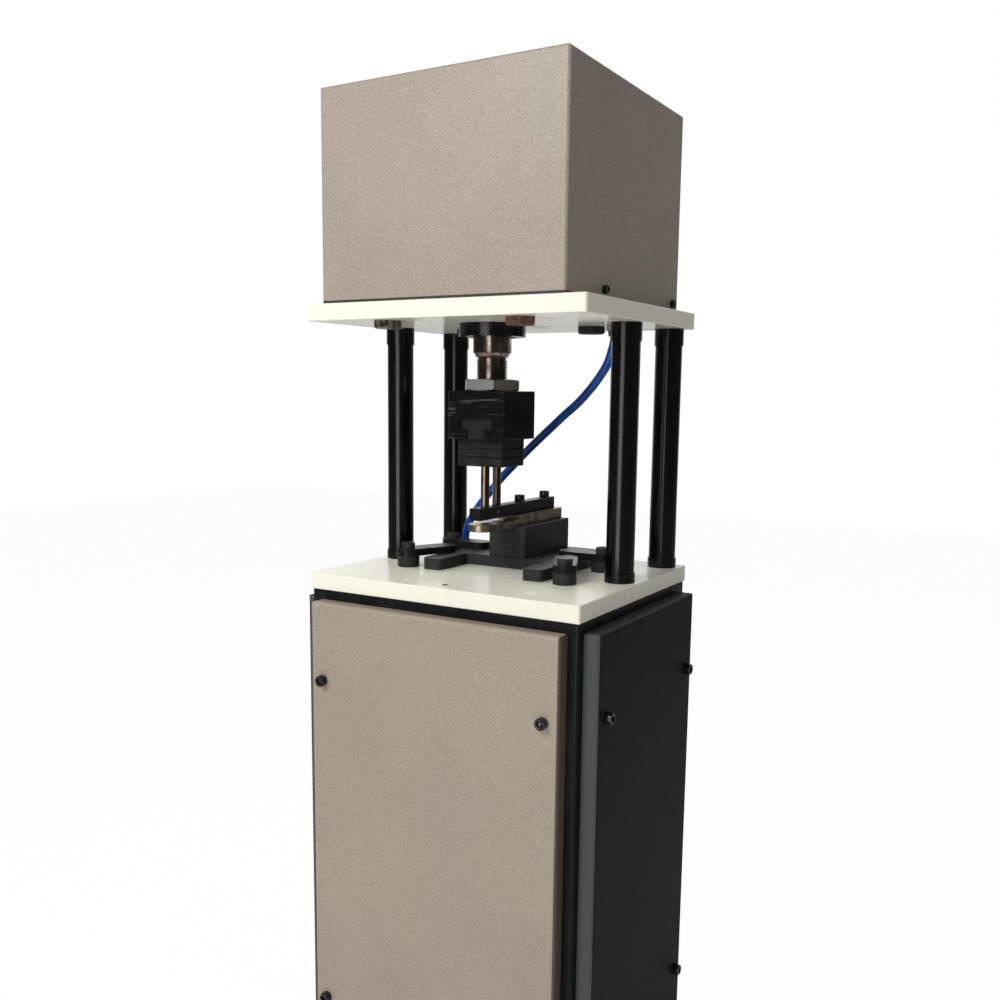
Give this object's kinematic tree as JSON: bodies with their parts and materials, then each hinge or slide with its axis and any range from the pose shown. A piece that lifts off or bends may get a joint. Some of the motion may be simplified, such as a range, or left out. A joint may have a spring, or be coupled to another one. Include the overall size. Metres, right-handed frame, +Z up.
{
  "type": "punching press",
  "caption": "Air-driven punching press: cabinet base with table, pillars, hooded cylinder, sliding ram with punches over a narrow horn with stripper bar, and clamped die.",
  "frame": {"origin": "on the floor under the middle of the machine's plates and frame", "axes": "+Z up from the floor, the working front faces -Y, +X to the right seen from the front"},
  "size_m": [0.399, 0.344, 1.1845],
  "materials": {
    "rubber": "matt",
    "zinc_bolts": "zinc plated",
    "frame_black": "satin black paint",
    "pan": "bare sheet steel",
    "brass": "bare brass",
    "taupe_coat": "sparkling fine-textured powder coat",
    "grey_coat": "dark fine-textured powder coat",
    "black_screws": "black oxide",
    "ivory_gloss": "gloss ivory paint",
    "gloss_black": "gloss black",
    "hood_coat": "sparkling fine-textured powder coat",
    "cylinder_alu": "anodised",
    "bright_steel": "ground steel",
    "worn_bolts": "worn steel, partly rusty",
    "grey_fitting": "grey metal",
    "dark_plastic": "matt",
    "blue_hose": "gloss blue polyurethane",
    "black_oxide": "oiled black oxide",
    "worn_black": "worn black oxide",
    "oiled_steel": "oiled tool steel",
    "bright_nut": "bright zinc",
    "tool_grey": "dark oiled steel"
  },
  "bodies": {
    "frame": {"rubber_feet": "rubber", "foot_bolts": "zinc_bolts", "corner_posts": "frame_black", "lower_rails": "frame_black", "upper_rails": "frame_black", "service_plate": "frame_black", "floor_pan": "pan", "air_inlet_fitting": "brass", "front_panel": "taupe_coat", "rear_panel": "grey_coat", "left_panel": "grey_coat", "right_panel": "grey_coat", "panel_spacers": "zinc_bolts", "panel_screws": "black_screws", "table_plate": "ivory_gloss", "table_bolts": "black_screws", "crown_plate": "ivory_gloss", "front_left_pillar": "gloss_black", "front_right_pillar": "gloss_black", "rear_left_pillar": "gloss_black", "rear_right_pillar": "gloss_black", "hood": "hood_coat", "hood_seal": "rubber", "hood_brackets": "zinc_bolts", "hood_screws": "black_screws", "front_cap": "cylinder_alu", "cylinder_barrel": "cylinder_alu", "rear_cap": "cylinder_alu", "tie_rods": "bright_steel", "cylinder_bolts": "worn_bolts", "rod_gland": "gloss_black", "rod_wiper": "rubber", "cylinder_fittings": "grey_fitting", "upper_hose_fitting": "grey_fitting", "lower_hose_fitting": "dark_plastic", "air_hose": "blue_hose", "valve_body": "cylinder_alu", "valve_coil": "dark_plastic", "valve_silencers": "brass", "base_plate": "black_oxide", "clamp_risers": "worn_black", "clamp_straps": "black_oxide", "clamp_bolts": "worn_black", "die_block": "black_oxide", "die_block_screws": "black_screws", "die_plate": "oiled_steel", "die_bushes": "oiled_steel", "stripper_bar": "black_oxide", "stripper_screws": "black_screws"},
    "ram": {"piston": "cylinder_alu", "piston_rod": "oiled_steel", "piston_nut": "bright_steel", "jam_nut": "bright_nut", "punch_holder": "black_oxide", "tool_shank": "tool_grey", "backing_plate": "tool_grey", "punch_plate": "tool_grey", "retaining_plate": "tool_grey", "punches": "oiled_steel", "tool_screws": "black_screws"}
  },
  "joints": [
    {"name": "ram_slide", "type": "slide", "parent": "frame", "child": "ram", "axis": [0, 0, -1], "range_m": [0, 0.03]}
  ]
}
